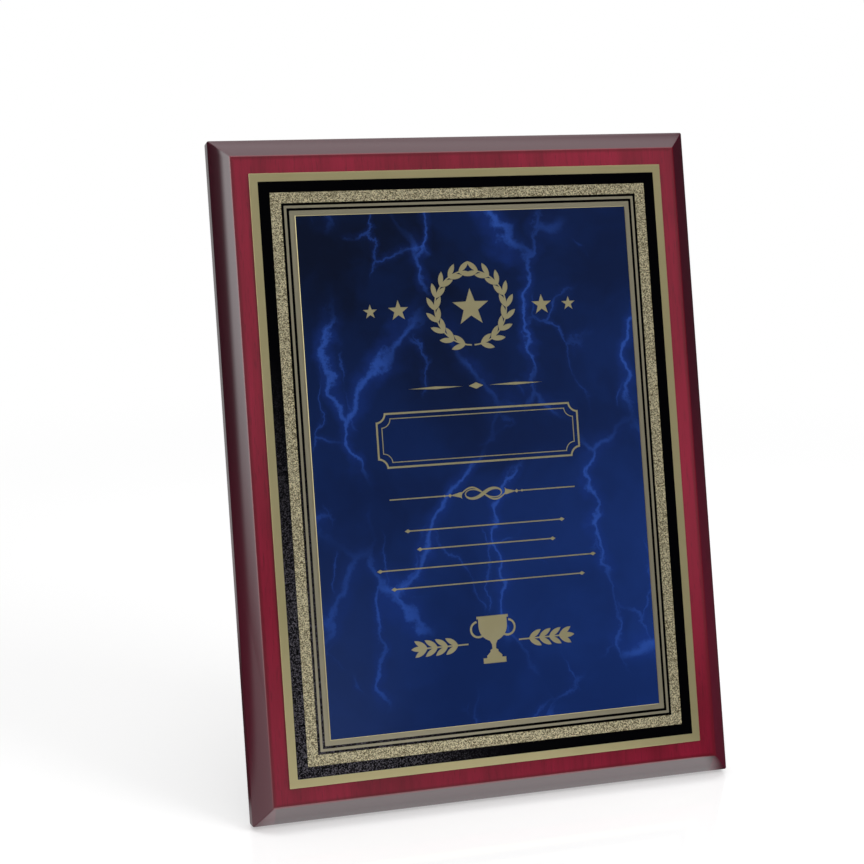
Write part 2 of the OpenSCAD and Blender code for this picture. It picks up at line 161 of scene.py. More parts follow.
class Tree:
    """The nodes of one material or world."""

    def __init__(self, owner):
        owner.use_nodes = True
        self.nodes = owner.node_tree.nodes
        self.links = owner.node_tree.links
        self.nodes.clear()

    def add(self, kind, settings=None, sockets=None, out=0):
        """One node: its type, its settings, then its sockets' values and links."""
        node = self.nodes.new("ShaderNode" + kind)
        for name, value in (settings or {}).items():
            setattr(node, name, value)
        for name, value in (sockets or {}).items():
            if isinstance(value, Signal):
                self.links.new(value.socket, node.inputs[name])
            else:
                node.inputs[name].default_value = value
        return Signal(self, node.outputs[out]) if node.outputs else None

    def blend(self, share, first, second):
        """A colour from first, at share 0, to second, at share 1."""
        return self.add("Mix", {"data_type": "RGBA"}, {0: share, 6: first, 7: second}, 2)

    def vector(self, operation, *operands):
        return self.add("VectorMath", {"operation": operation}, dict(enumerate(operands)))

    def parts(self, vector):
        """The three parts of a vector."""
        first = self.add("SeparateXYZ", {}, {0: vector})
        return first, first.also("Y"), first.also("Z")

    def noise(self, vector, scale, detail=2.0, roughness=0.5, colour=False):
        sockets = {"Vector": vector, "Scale": scale, "Detail": detail, "Roughness": roughness}
        return self.add("TexNoise", {}, sockets, 1 if colour else 0)

    def crystals(self, scale):
        """Small cells: how far a point lies from its cell's middle, and the cell's own shade."""
        sockets = {"Vector": self.place, "Scale": scale}
        near = self.add("TexVoronoi", {}, sockets)
        return near, self.parts(near.also("Color"))[0]

    def bump(self, height, distance, strength=1.0):
        return self.add(
            "Bump", {}, {"Height": height, "Distance": distance, "Strength": strength})


def colour(red, green, blue):
    """An sRGB colour, in 0 to 255, as a linear one."""
    shares = [value / 255 for value in (red, green, blue)]
    linear = [s / 12.92 if s <= 0.04045 else ((s + 0.055) / 1.055) ** 2.4 for s in shares]
    return (*linear, 1.0)


class Finish(Tree):
    """A material whose patterns follow the board's own axes."""

    def __init__(self, name):
        self.material = bpy.data.materials.new(name)
        super().__init__(self.material)
        turn = TO_BOARD.to_euler()
        place = self.add("TexCoord", {}, {}, 3)
        sockets = {"Vector": place, "Location": TO_BOARD.translation, "Rotation": turn}
        self.place = self.add("Mapping", {"vector_type": "POINT"}, sockets)

    def surface(self, sockets):
        shader = self.add("BsdfPrincipled", {}, sockets)
        self.add("OutputMaterial", {}, {"Surface": shader})
        return self.material


# ---- Board sizes ----

CORNER_R = 0.9 * MM
MITRE_R = 0.35 * MM
BACK_ARRIS_R = 1.0 * MM
SIDE_END = 7.34 * MM
ARRIS_R = 1.5 * MM
BEVEL_W = 9.1 * MM
BEVEL_FROM = math.radians(39.7)
BEVEL_TO = math.radians(53.7)


# ---- Finishes ----

def red_lacquer():
    """Rosewood veneer stained wine red, with upright grain under a thick clear gloss."""
    paint = Finish("red_lacquer")
    x, y, z = paint.parts(paint.place)
    along = paint.vector("MULTIPLY", paint.place, (1.0, 0.045, 1.0))
    grain = paint.noise(along, 520.0, 4.0, 0.6)
    figure = paint.noise(along, 70.0, 3.0, 0.55)
    cloud = paint.noise(paint.place, 16.0, 2.0)
    deep, wine = colour(122, 6, 36), colour(158, 16, 54)
    tone = (0.45 * grain + 0.75 * figure + 0.5 * cloud - 0.35).rise(0.2, 0.8)
    base = paint.blend(tone, deep, wine)
    pores = paint.noise(paint.vector("MULTIPLY", along, (1.0, 1.6, 1.0)), 1900.0, 2.0)
    base = paint.blend(0.35 * pores.rise(0.56, 0.72), base, colour(62, 2, 20))
    # The bevel and the sides took a darker stain. The front is darker in a narrow band along the
    # bevel.
    _, half = board_box("board_core")
    inset = (half.x - abs(x)).least(half.y - abs(y))
    rim = inset.rise(BEVEL_W + 1.6 * MM, BEVEL_W)
    base = paint.blend(0.6 * rim, base, colour(96, 0, 20))
    front = board_box("rosewood_veneer")[1].z
    # Painted shade and light: the bevel and the sides are painted darker above, and paler and
    # redder low down at both sides.
    low = y.rise(0.06, -0.1) * abs(x).rise(half.x - BEVEL_W - MM, half.x - BEVEL_W)
    stain_and_painted_light = paint.blend(low, colour(68, 9, 29), colour(100, 16, 42))
    base = paint.blend(z.rise(front - 0.02 * MM, front - 0.5 * MM), base, stain_and_painted_light)
    # The gloss is thin on the side faces and rubbed through along the mitres.
    mitre = abs((half.x - abs(x)) - (half.y - abs(y))).rise(0.5 * MM, 0.1 * MM)
    mitre = mitre * z.rise(front - 0.02 * MM, front - 0.5 * MM)
    gloss = (0.25 + 0.75 * z.rise(SIDE_END, SIDE_END + 0.8 * MM)) * (1.0 - 0.6 * mitre)
    return paint.surface({
        "Base Color": base, "Roughness": 0.3, "IOR": 1.5,
        "Coat Weight": gloss, "Coat Roughness": 0.03, "Coat IOR": 1.9,
        "Normal": paint.bump(grain, 0.02 * MM, 0.4)})


def bare_fibreboard():
    paint = Finish("bare_fibreboard")
    fibre = paint.noise(paint.place, 900.0, 4.0, 0.7)
    base = paint.blend(fibre, colour(120, 88, 58), colour(168, 132, 94))
    return paint.surface({
        "Base Color": base, "Roughness": 0.9, "Normal": paint.bump(fibre, 0.1 * MM)})


def painted_back():
    """Dark brown paint with a fine pebble."""
    paint = Finish("painted_back")
    pebble = paint.noise(paint.place, 700.0, 3.0, 0.6)
    cloud = paint.noise(paint.place, 25.0, 3.0)
    base = paint.blend(cloud, colour(40, 20, 20), colour(54, 28, 26))
    return paint.surface({
        "Base Color": base, "Roughness": 0.42 + 0.2 * pebble,
        "Normal": paint.bump(pebble, 0.12 * MM, 0.6)})


def satin_gold():
    """Brass with a satin lacquer, drawn finely along the board's height."""
    paint = Finish("satin_gold")
    along = paint.vector("MULTIPLY", paint.place, (1.0, 0.02, 1.0))
    drawn = paint.noise(along, 3000.0, 2.0)
    cloud = paint.noise(paint.place, 30.0, 2.0)
    base = paint.blend(cloud, colour(226, 214, 158), colour(240, 227, 176))
    # Inside the etched band the lacquer has less yellow in it.
    x, y, _ = paint.parts(paint.place)
    _, half = board_box("border_plate")
    inset = (half.x - abs(x)).least(half.y - abs(y))
    base = paint.blend(inset.rise(10 * MM, 11 * MM), base, colour(206, 198, 170))
    return paint.surface({
        "Base Color": base, "Metallic": 0.8, "Roughness": 0.36 + 0.1 * drawn,
        "Normal": paint.bump(drawn, 0.01 * MM, 0.4)})


def florentine_gold():
    """Brass etched into a coarse, sparkling grain."""
    paint = Finish("florentine_gold")
    _, tint = paint.crystals(2600.0)
    base = paint.blend(tint.rise(0.0, 0.95), colour(112, 100, 68), colour(252, 242, 204))
    return paint.surface({
        "Base Color": base, "Metallic": 0.7, "Roughness": 0.5,
        "Normal": paint.bump(tint, 0.1 * MM, 0.6)})


def black_ink():
    """Black screen print with a pebbled face, with pale specks painted in towards the lower left as
    a painted sparkle.
    """
    paint = Finish("black_ink")
    x, y, _ = paint.parts(paint.place)
    _, tint = paint.crystals(2600.0)
    # Painted sparkle: the pebble's pale specks are painted in only towards the lower left.
    _, half = board_box("border_plate")
    thin = (x / half.x + 0.75 * (y / half.y)).rise(-0.6, -1.5)
    base = paint.blend(thin * tint.rise(0.45, 1.0), colour(1, 1, 3), colour(104, 100, 108))
    return paint.surface({
        "Base Color": base, "Roughness": 0.3, "IOR": 1.15,
        "Normal": paint.bump(tint, 0.05 * MM, 0.5)})


def engraved_gold():
    """Pale brass with the fine level lines that an engraving tool leaves."""
    paint = Finish("engraved_gold")
    _, y, _ = paint.parts(paint.place)
    lines = paint.add("Math", {"operation": "SINE"}, {0: y * (2 * math.pi / (0.25 * MM))})
    cloud = paint.noise(paint.place, 60.0, 2.0)
    base = paint.blend(cloud, colour(222, 210, 158), colour(236, 226, 182))
    return paint.surface({
        "Base Color": base, "Metallic": 0.75, "Roughness": 0.34,
        "Normal": paint.bump(lines, 0.01 * MM, 0.3)})


def bright_cut_gold():
    """The panel's diamond-cut edge."""
    paint = Finish("bright_cut_gold")
    cloud = paint.noise(paint.place, 90.0, 2.0)
    base = paint.blend(cloud, colour(190, 180, 134), colour(208, 198, 152))
    return paint.surface({"Base Color": base, "Metallic": 0.9, "Roughness": 0.28})


def marbled_blue():
    """Deep blue enamel with soft clouds and forked, lightning-like veins."""
    paint = Finish("marbled_blue")
    x, y, _ = paint.parts(paint.place)
    flat = paint.vector("MULTIPLY", paint.place, (1.0, 1.0, 0.0))
    sway = paint.vector("SUBTRACT", paint.noise(flat, 15.0, 3.0, 0.5, True), (0.5, 0.5, 0.5))
    jitter = paint.vector(
        "SUBTRACT", paint.noise(flat, 120.0, 4.0, 0.65, True), (0.5, 0.5, 0.5))
    swayed = paint.vector("MULTIPLY_ADD", sway, (0.05, 0.05, 0.0), flat)
    forked = paint.vector("MULTIPLY_ADD", jitter, (0.009, 0.009, 0.0), swayed)

    def veins(shape, scale, thin, wide, seed):
        """A net of forked veins: a bright line and the glow round it."""
        moved = paint.vector("MULTIPLY_ADD", forked, shape, (seed, 2 * seed, 0.0))
        settings = {"voronoi_dimensions": "2D", "feature": "DISTANCE_TO_EDGE"}
        edge = paint.add("TexVoronoi", settings, {"Vector": moved, "Scale": scale})
        return edge.rise(thin, 0.0), edge.rise(wide, 0.0)

    line, glow = veins((1.0, 0.4, 1.0), 24.0, 0.034, 0.13, 0.31)
    fine_line, fine_glow = veins((1.0, 0.6, 1.0), 40.0, 0.03, 0.1, 0.77)
    shown = paint.noise(flat, 15.0, 2.0).rise(0.4, 0.56)
    fine_shown = paint.noise(paint.vector("ADD", flat, (0.4, 0.1, 0.0)), 26.0, 2.0).rise(0.54, 0.66)
    cloud = paint.noise(swayed, 15.0, 4.0, 0.55)
    fog = paint.noise(forked, 42.0, 3.0, 0.5)
    navy, dusk = colour(8, 17, 38), colour(10, 27, 64)
    royal, painted_sheen_blue = colour(26, 54, 122), colour(42, 60, 108)
    base = paint.blend((0.7 * cloud + 0.3 * fog).rise(0.38, 0.6), navy, dusk)
    # Painted light: the blue is painted paler towards the bottom and the right, with a greyer
    # painted sheen at the lower left.
    painted_light_share = 0.04 + 0.7 * y.rise(0.09, -0.1) + 0.25 * x.rise(-0.03, 0.07)
    base = paint.blend(painted_light_share * (0.7 + 0.3 * cloud.rise(0.4, 0.62)), base, royal)
    base = paint.blend(0.5 * x.rise(-0.02, -0.08) * y.rise(0.0, -0.12), base, painted_sheen_blue)
    light = (line * shown * 0.75 + fine_line * fine_shown * 0.35).least(1.0)
    halo = (glow * shown * 0.45 + fine_glow * fine_shown * 0.2).least(1.0)
    base = paint.blend(halo, base, colour(26, 56, 138))
    base = paint.blend(light, base, colour(46, 84, 172))
    return paint.surface({"Base Color": base, "Roughness": 0.16, "IOR": 1.3})


def plated_steel():
    """Brass-plated steel with the faint cloud and scratches of stamping."""
    paint = Finish("plated_steel")
    cloud = paint.noise(paint.place, 60.0, 4.0, 0.6)
    along = paint.vector("MULTIPLY", paint.place, (1.0, 0.04, 1.0))
    scratch = paint.noise(along, 1800.0, 3.0)
    base = paint.blend(cloud, colour(196, 158, 84), colour(226, 190, 118))
    return paint.surface({
        "Base Color": base, "Metallic": 0.95, "Roughness": 0.22 + 0.16 * scratch,
        "Normal": paint.bump(scratch, 0.02 * MM, 0.5)})


def zinc_steel(name, pale, dark):
    paint = Finish(name)
    flake = paint.add(
        "TexVoronoi", {}, {"Vector": paint.place, "Scale": 420.0}, 1)
    spangle = paint.noise(paint.place, 240.0, 3.0)
    base = paint.blend(spangle, dark, pale)
    base = paint.add("Mix", {"data_type": "RGBA", "blend_type": "SOFT_LIGHT"},
                     {0: 0.25, 6: base, 7: flake}, 2)
    base = paint.add("HueSaturation", {}, {"Saturation": 0.25, "Color": base})
    return paint.surface({
        "Base Color": base, "Metallic": 0.95, "Roughness": 0.3 + 0.15 * spangle})


def black_rubber():
    paint = Finish("black_rubber")
    pebble = paint.noise(paint.place, 1400.0, 3.0, 0.6)
    base = paint.blend(pebble, colour(24, 24, 25), colour(44, 44, 45))
    return paint.surface({
        "Base Color": base, "Roughness": 0.68, "Normal": paint.bump(pebble, 0.08 * MM)})


def foam_tape(name, pale, dark):
    paint = Finish(name)
    cell = paint.noise(paint.place, 1200.0, 2.0)
    base = paint.blend(cell, dark, pale)
    return paint.surface({"Base Color": base, "Roughness": 0.7})


RED = red_lacquer()
FIBRE = bare_fibreboard()
BACK = painted_back()
GOLD = satin_gold()
FLORENTINE = florentine_gold()
INK = black_ink()
ENGRAVED = engraved_gold()
BRIGHT = bright_cut_gold()
MARBLE = marbled_blue()
PLATED = plated_steel()
ZINC = zinc_steel("zinc_steel", colour(206, 208, 210), colour(170, 173, 178))
SCREW = zinc_steel("screw_steel", colour(190, 192, 196), colour(150, 152, 158))
RUBBER = black_rubber()
TAPE = foam_tape("foam_tape", colour(236, 230, 212), colour(214, 206, 184))
FILM = foam_tape("clear_film", colour(228, 230, 226), colour(206, 208, 204))


# ---- Meshes ----

def new_piece(name, vertices, faces, finishes, slots=None):
    """A mesh piece drawn in the board's own axes and set in its place."""
    mesh = bpy.data.meshes.new(name)
    mesh.from_pydata([BOARD @ Vector(point) for point in vertices], [], faces)
    for finish in finishes:
        mesh.materials.append(finish)
    if slots:
        mesh.polygons.foreach_set("material_index", slots)
    mesh.validate()
    piece = bpy.data.objects.new(name, mesh)
    bpy.context.scene.collection.objects.link(piece)
    return piece


def smooth(piece, angle=35):
    mesh = piece.data
    mesh.polygons.foreach_set("use_smooth", [True] * len(mesh.polygons))
    mesh.set_sharp_from_angle(angle=math.radians(angle))


def bake(piece):
    """Turns the piece's live modifiers into its mesh."""
    evaluated = piece.evaluated_get(bpy.context.evaluated_depsgraph_get())
    mesh = bpy.data.meshes.new_from_object(evaluated)
    piece.modifiers.clear()
    piece.data = mesh


def settle(piece, body, slot, *nodes):
    """Seats a finished piece on its body in place of its CAD nodes."""
    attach(piece, body)
    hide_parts(*nodes)


def copied(name, node, finish):
    """A piece with a CAD node's form, joined up and with whole flat faces."""
    mesh = frame["nodes"][node].data.copy()
    edit = bmesh.new()
    edit.from_mesh(mesh)
    bmesh.ops.remove_doubles(edit, verts=edit.verts, dist=0.001 * MM)
    bmesh.ops.dissolve_limit(
        edit, angle_limit=math.radians(0.5), verts=edit.verts, edges=edit.edges)
    edit.to_mesh(mesh)
    edit.free()
    mesh.materials.clear()
    mesh.materials.append(finish)
    piece = bpy.data.objects.new(name, mesh)
    bpy.context.scene.collection.objects.link(piece)
    return piece


CORNER_STEPS = 6
STEADY = 2.5 * MM


def loop(half_w, half_h, radius, out):
    """A rounded rectangle's points at a height over the back, with a few more on its sides."""
    points = []
    for turn in range(4):
        a, b = (half_w, half_h) if turn % 2 == 0 else (half_h, half_w)
        corner = [(a, STEADY + radius - b), (a, b - STEADY - radius)]
        for step in range(CORNER_STEPS + 1):
            angle = math.pi / 2 * step / CORNER_STEPS
            corner.append((a - radius + radius * math.cos(angle),
                           b - radius + radius * math.sin(angle)))
        for x, y in corner:
            for _ in range(turn):
                x, y = -y, x
            points.append((x, y, out))
    return points


def loft(loops, closed=False):
    """Faces through loops of equal length: a solid with two ends, or a closed ring."""
    count = len(loops[0])
    faces = []
    bands = len(loops) if closed else len(loops) - 1
    for band in range(bands):
        low, high = band * count, (band + 1) % len(loops) * count
        for i in range(count):
            j = (i + 1) % count
            faces.append((low + i, low + j, high + j, high + i))
    if not closed:
        faces.append(tuple(reversed(range(count))))
        faces.append(tuple(range((len(loops) - 1) * count, len(loops) * count)))
    return [point for ring in loops for point in ring], faces


# ---- Board ----

POCKET_DEPTH = 7.0 * MM
POCKET_W = 14.0 * MM
POCKET_END = 9.2 * MM
HANGER_GAP = 0.1 * MM
HANGER_R = 3.0 * MM


def arris(start, radius, first, last, steps):
    """Points (inset, out) along an arc that turns from the side face towards the front."""
    inset, out = start
    points = []
    for step in range(1, steps + 1):
        angle = first + (last - first) * step / steps
        points.append((inset + radius * (math.cos(first) - math.cos(angle)),
                       out + radius * (math.sin(angle) - math.sin(first))))
    return points


def board_profile(back, front):
    """Section (inset, out) from the backing sheet round the side and the bevel to the front."""
    rest = BACK_ARRIS_R - back
    points = [(BACK_ARRIS_R - math.sqrt(BACK_ARRIS_R ** 2 - rest ** 2), back)]
    points += [(0.0, BACK_ARRIS_R), (0.0, 2 * BACK_ARRIS_R), (0.0, SIDE_END)]
    points += arris(points[-1], ARRIS_R, 0.0, BEVEL_FROM, 8)
    ends = ARRIS_R * (1 - math.cos(BEVEL_FROM) + math.cos(BEVEL_TO))
    bow = (BEVEL_W - ends) / (math.cos(BEVEL_FROM) - math.cos(BEVEL_TO))
    points += arris(points[-1], bow, BEVEL_FROM, BEVEL_TO, 12)
    points += arris(points[-1], ARRIS_R, BEVEL_TO, math.pi / 2, 8)
    # The lacquered face is flat from the arris inwards.
    shift = front - points[-1][1]
    points = points[:4] + [(inset, out + shift) for inset, out in points[4:]]
    return points + [(points[-1][0] + 0.5 * MM, front), (points[-1][0] + 2 * MM, front)]


def hanger_cutters(back):
    """The hanger's seat and the pocket behind it, as solids to cut away."""
    low, high = board_box("keyhole_hanger")
    middle_y = (low.y + high.y) / 2
    half = ((high.x - low.x) / 2 + HANGER_GAP, (high.y - low.y) / 2 + HANGER_GAP)
    pocket_half_h = (high.y - low.y) / 2 - POCKET_END
    sizes = [(half, HANGER_R + HANGER_GAP, high.z),
             ((POCKET_W / 2, pocket_half_h), 0.5 * MM, high.z + POCKET_DEPTH)]
    cutters = []
    for (half_w, half_h), radius, deep in sizes:
        loops = [loop(half_w, half_h, radius, out) for out in (back - MM, deep)]
        loops = [[(x, y + middle_y, out) for x, y, out in ring] for ring in loops]
        cutter = new_piece("cutter", *loft(loops), [RED, FIBRE])
        cutter.data.polygons.foreach_set("material_index", [1] * len(cutter.data.polygons))
        cutters.append(cutter)
    return cutters


def rosewood_board():
    low, high = board_box("board_core")
    front = board_box("rosewood_veneer")[1].z
    loops = [
        loop(high.x - inset, high.y - inset, max(CORNER_R - inset, MITRE_R), out)
        for inset, out in board_profile(low.z, front)]
    vertices, faces = loft(loops)
    board = new_piece("rosewood_board", vertices, faces, [RED, FIBRE])
    smooth(board)
    cutters = hanger_cutters(low.z)
    for cutter in cutters:
        cut = board.modifiers.new("pocket", "BOOLEAN")
        cut.object = cutter
        cut.solver = "EXACT"
    bake(board)
    for cutter in cutters:
        bpy.data.objects.remove(cutter)
    settle(board, "plaque", "lacquered_board", "board_core", "rosewood_veneer")


rosewood_board()


# ---- Border plate and its print ----

EDGE_W = 3.7 * MM
BLACK_W = 5.0 * MM
FROST_W = 4.8 * MM
PINSTRIPE_W = 1.15 * MM
FROST_DEPTH = 0.1 * MM
PLATE_EDGE = 0.12 * MM
PLATE_R = 0.3 * MM


def nested(half, profile):
    """Loops inside a rectangle of the given half size, from a profile of (inset, out)."""
    return [loop(half[0] - inset, half[1] - inset, PLATE_R, out) for inset, out in profile]


def border_plate():
    low, high = board_box("border_plate")
    frost_in = EDGE_W + BLACK_W
    frost_out = frost_in + FROST_W
    sunk = high.z - FROST_DEPTH
    profile = [(0.0, low.z), (0.0, high.z - PLATE_EDGE),
               (0.3 * PLATE_EDGE, high.z - 0.3 * PLATE_EDGE),
               (PLATE_EDGE, high.z), (2 * PLATE_EDGE, high.z),
               (frost_in, high.z), (frost_in + 0.05 * MM, sunk),
               (frost_out - 0.05 * MM, sunk), (frost_out, high.z)]
    loops = nested((high.x, high.y), profile)
    vertices, faces = loft(loops)
    count = len(loops[0])
    # The etched band is the faces between the profile's sixth point and its last.
    etched = range(5 * count, 8 * count)
    slots = [1 if i in etched else 0 for i in range(len(faces))]
    plate = new_piece("gold_border_plate", vertices, faces, [GOLD, FLORENTINE], slots)
    smooth(plate, 20)
    settle(plate, "plaque", "gold_plate", "border_plate")


def black_rings():
    """The wide black band and the two pinstripes, with soft printed edges."""
    _, plate = board_box("border_plate")
    top = board_box("black_border_print")[1].z
    stripe = EDGE_W + BLACK_W + FROST_W
    spans = [(EDGE_W, BLACK_W), (stripe, PINSTRIPE_W), (stripe + 2 * PINSTRIPE_W, PINSTRIPE_W)]
    vertices, faces = [], []
    soft = 0.04 * MM
    for inset, width in spans:
        profile = [(inset, plate.z), (inset + soft, top), (inset + width - soft, top),
                   (inset + width, plate.z)]
        ring, ring_faces = loft(nested((plate.x, plate.y), profile), closed=True)
        faces += [tuple(len(vertices) + i for i in face) for face in ring_faces]
        vertices += ring
    ink = new_piece("black_rings", vertices, faces, [INK])
    smooth(ink, 20)
    settle(ink, "plaque", "black_print", "black_border_print")


border_plate()
black_rings()


# ---- Panel ----

CUT_W = 0.25 * MM
CUT_DEPTH = 0.15 * MM


def gold_panel():
    """The panel, with a bright cut edge round the enamel."""
    low, high = board_box("panel_plate")
    profile = [(0.0, low.z), (0.0, high.z - CUT_DEPTH), (CUT_W, high.z), (1.5 * CUT_W, high.z)]
    loops = nested((high.x, high.y), profile)
    vertices, faces = loft(loops)
    count = len(loops[0])
    slots = [1 if i < 2 * count else 0 for i in range(len(faces))]
    panel = new_piece("gold_panel", vertices, faces, [ENGRAVED, BRIGHT], slots)
    smooth(panel, 20)
    settle(panel, "plaque", "panel_metal", "panel_plate")


def blue_enamel():
    """The enamel with its engraving, drawn in from the panel's cut edge."""
    low, high = board_box("marble_enamel")
    enamel = copied("blue_enamel", "marble_enamel", MARBLE)
    loops = [loop(high.x - CUT_W, high.y - CUT_W, PLATE_R, out)
             for out in (low.z - MM, high.z + MM)]
    keeper = new_piece("keeper", *loft(loops), [MARBLE])
    trim = enamel.modifiers.new("trim", "BOOLEAN")
    trim.object = keeper
    trim.operation = "INTERSECT"
    trim.solver = "EXACT"
    bake(enamel)
    bpy.data.objects.remove(keeper)
    settle(enamel, "plaque", "marble_enamel", "marble_enamel")


gold_panel()
blue_enamel()


# ---- Hardware ----

HEAD_R = 3.1 * MM
PAN_H = 2.0 * MM
SUNK_H = 1.95 * MM
THREAD_R = 1.6 * MM
CORE_R = 1.15 * MM
PITCH_T = 1.3 * MM
TIP_L = 1.5 * MM
BUMPER_R = 5.5 * MM
CROSS_L = 1.8 * MM
CROSS_W = 0.34 * MM
CROSS_DEPTH = 1.2 * MM
CROSS_TAPER = 0.45


def softened(name, node, edge, finish, body, slot, segments=2):
    """A piece with a CAD node's form, whose sharp edges are rounded a little."""
    piece = copied(name, node, finish)
    rounding = piece.modifiers.new("edges", "BEVEL")
    rounding.width = edge
    rounding.segments = segments
    rounding.limit_method = "ANGLE"
    rounding.angle_limit = math.radians(32)
    bake(piece)
    smooth(piece)
    settle(piece, body, slot, node)


softened("stamped_bracket", "easel_bracket", 0.18 * MM, PLATED, "plaque", "plated_steel")
softened("folded_leg", "easel_leg", 0.3 * MM, PLATED, "leg", "plated_steel", 3)
softened("rubber_foot", "leg_foot", 0.5 * MM, RUBBER, "leg", "rubber", 3)
softened("hanger_plate", "keyhole_hanger", 0.12 * MM, ZINC, "plaque", "zinc_steel")
softened("hinge_rivet", "hinge_pin", 0.1 * MM, ZINC, "plaque", "zinc_steel")


def lathe(profile, steps=40):
    """A closed solid turned round the z axis, from a profile of (radius, out)."""
    vertices = [(0.0, 0.0, profile[0][1])]
    for radius, out in profile[1:-1]:
        for step in range(steps):
            angle = 2 * math.pi * step / steps
            vertices.append((radius * math.cos(angle), radius * math.sin(angle), out))
    vertices.append((0.0, 0.0, profile[-1][1]))
    faces = []
    last = len(vertices) - 1
    for step in range(steps):
        after = (step + 1) % steps
        faces.append((0, 1 + after, 1 + step))
        for ring in range(len(profile) - 3):
            low, high = 1 + ring * steps, 1 + (ring + 1) * steps
            faces.append((low + step, low + after, high + after, high + step))
        faces.append((last, last - steps + step, last - steps + after))
    return vertices, faces


def loose_mesh(name, vertices, faces):
    """A mesh object drawn round the origin, for a tree to set out."""
    mesh = bpy.data.meshes.new(name)
    mesh.from_pydata(vertices, [], faces)
    item = bpy.data.objects.new(name, mesh)
    bpy.context.scene.collection.objects.link(item)
    return item


def set_out_tree():
    """Copies of a piece in columns and rows, turned and moved as one."""
    group = bpy.data.node_groups.new("set_out", "GeometryNodeTree")
    for name, kind in (("Piece", "Geometry"), ("Columns", "Int"), ("Rows", "Int"),
                       ("Column Step", "Vector"), ("Row Step", "Vector"),
                       ("Start", "Vector"), ("Turn", "Rotation"), ("Finish", "Material")):
        group.interface.new_socket(name, in_out="INPUT", socket_type="NodeSocket" + kind)
    group.interface.new_socket("Pieces", in_out="OUTPUT", socket_type="NodeSocketGeometry")
    given = group.nodes.new("NodeGroupInput").outputs

    def add(kind, sockets):
        node = group.nodes.new("GeometryNode" + kind)
        for name, source in sockets.items():
            group.links.new(source, node.inputs[name])
        return node.outputs[0]

    column = add("MeshLine", {"Count": given["Columns"], "Offset": given["Column Step"]})
    row = add("MeshLine", {"Count": given["Rows"], "Offset": given["Row Step"]})
    pieces = add("InstanceOnPoints", {"Points": column, "Instance": given["Piece"]})
    pieces = add("InstanceOnPoints", {"Points": row, "Instance": pieces})
    pieces = add("RealizeInstances", {"Geometry": pieces})
    pieces = add("Transform", {
        "Geometry": pieces, "Translation": given["Start"], "Rotation": given["Turn"]})
    pieces = add("SetMaterial", {"Geometry": pieces, "Material": given["Finish"]})
    group.links.new(pieces, group.nodes.new("NodeGroupOutput").inputs["Pieces"])
    return group


def set_out(piece, tree, **values):
    """Sets a piece out by the tree, with its named inputs, and bakes the result."""
    modifier = piece.modifiers.new("set_out", "NODES")
    modifier.node_group = tree
    for socket in tree.interface.items_tree:
        key = socket.name.lower().replace(" ", "_")
        if socket.in_out == "INPUT" and key in values:
            modifier[socket.identifier] = values[key]
    bake(piece)


def corner_pieces(name, node, outline, radius, finish, slot, columns, cutter=None):
    """Like round pieces at the places that a CAD node's solids have."""
    low, high = board_box(node)
    piece = loose_mesh(name, *lathe(outline))
    if cutter:
        cut = piece.modifiers.new("drive", "BOOLEAN")
        cut.object = cutter
        cut.solver = "EXACT"
        bake(piece)
    start = Vector((low.x + radius, low.y + radius, low.z))
    step_x = high.x - low.x - 2 * radius
    step_y = high.y - low.y - 2 * radius
    set_out(piece, SET_OUT, columns=columns, rows=2, column_step=(step_x, 0, 0),
            row_step=(0, step_y, 0), start=BOARD @ start, turn=BOARD.to_euler(),
            finish=finish)
    smooth(piece)
    settle(piece, "plaque", slot, node)


def quarter(radius, centre, first, last, steps=6):
    """Points of an arc in a lathe profile, from one angle to another in degrees."""
    angles = [first + (last - first) * step / steps for step in range(steps + 1)]
    return [(centre[0] + radius * math.cos(math.radians(angle)),
             centre[1] - radius * math.sin(math.radians(angle))) for angle in angles]


def threaded(under, length):
    """The shank of a wood screw from under its head to its tip."""
    points = [(CORE_R, under)]
    out = under + PITCH_T
    while out < under + length - TIP_L - PITCH_T:
        points += [(CORE_R, out), (THREAD_R, out + 0.35 * PITCH_T), (CORE_R, out + 0.7 * PITCH_T)]
        out += PITCH_T
    return points + [(CORE_R, under + length - TIP_L), (0.0, under + length)]


def pan_outline(length):
    """A domed head with its top on out = 0."""
    dome = quarter(HEAD_R * 1.3, (0.0, HEAD_R * 1.3), 90, 58)
    rim = quarter(0.5 * MM, (HEAD_R - 0.5 * MM, 1.15 * MM), 50, 0)
    return dome + rim + [(HEAD_R, PAN_H - 0.15 * MM), (HEAD_R - 0.15 * MM, PAN_H)] + (
        threaded(PAN_H, length))


def sunk_outline(length):
    """A flat sunk head with a small land at its rim."""
    return [(0.0, 0.0), (HEAD_R - 0.1 * MM, 0.0), (HEAD_R, 0.08 * MM)] + (
        threaded(SUNK_H, length - SUNK_H))


def bumper_outline(height):
    """A rubber bumper with a rounded rim and a shallow dimple in its top."""
    rim = quarter(1.0 * MM, (BUMPER_R - 1.0 * MM, 1.0 * MM), 90, 0)
    return [(0.0, 0.35 * MM), (1.4 * MM, 0.3 * MM), (2.2 * MM, 0.04 * MM)] + rim + (
        [(BUMPER_R, height), (0.0, height)])


def depth_of(node):
    """How far a CAD node reaches along the board's thickness."""
    low, high = board_box(node)
    return high.z - low.z


def cross_recess(deep):
    """A tapered cross that cuts a screw's drive, standing in its head's top."""
    vertices, faces = [], []
    for along, across in ((CROSS_L, CROSS_W), (CROSS_W, CROSS_L)):
        first = len(vertices)
        for share, out in ((1.0, -0.5 * MM), (CROSS_TAPER, deep)):
            for sx, sy in ((-1, -1), (1, -1), (1, 1), (-1, 1)):
                a = along * share if along > across else along
                b = across * share if across > along else across
                vertices.append((sx * a, sy * b, out))
        faces += [tuple(first + i for i in face) for face in (
            (3, 2, 1, 0), (4, 5, 6, 7), (0, 1, 5, 4), (1, 2, 6, 5), (2, 3, 7, 6), (3, 0, 4, 7))]
    return loose_mesh("cross", vertices, faces)


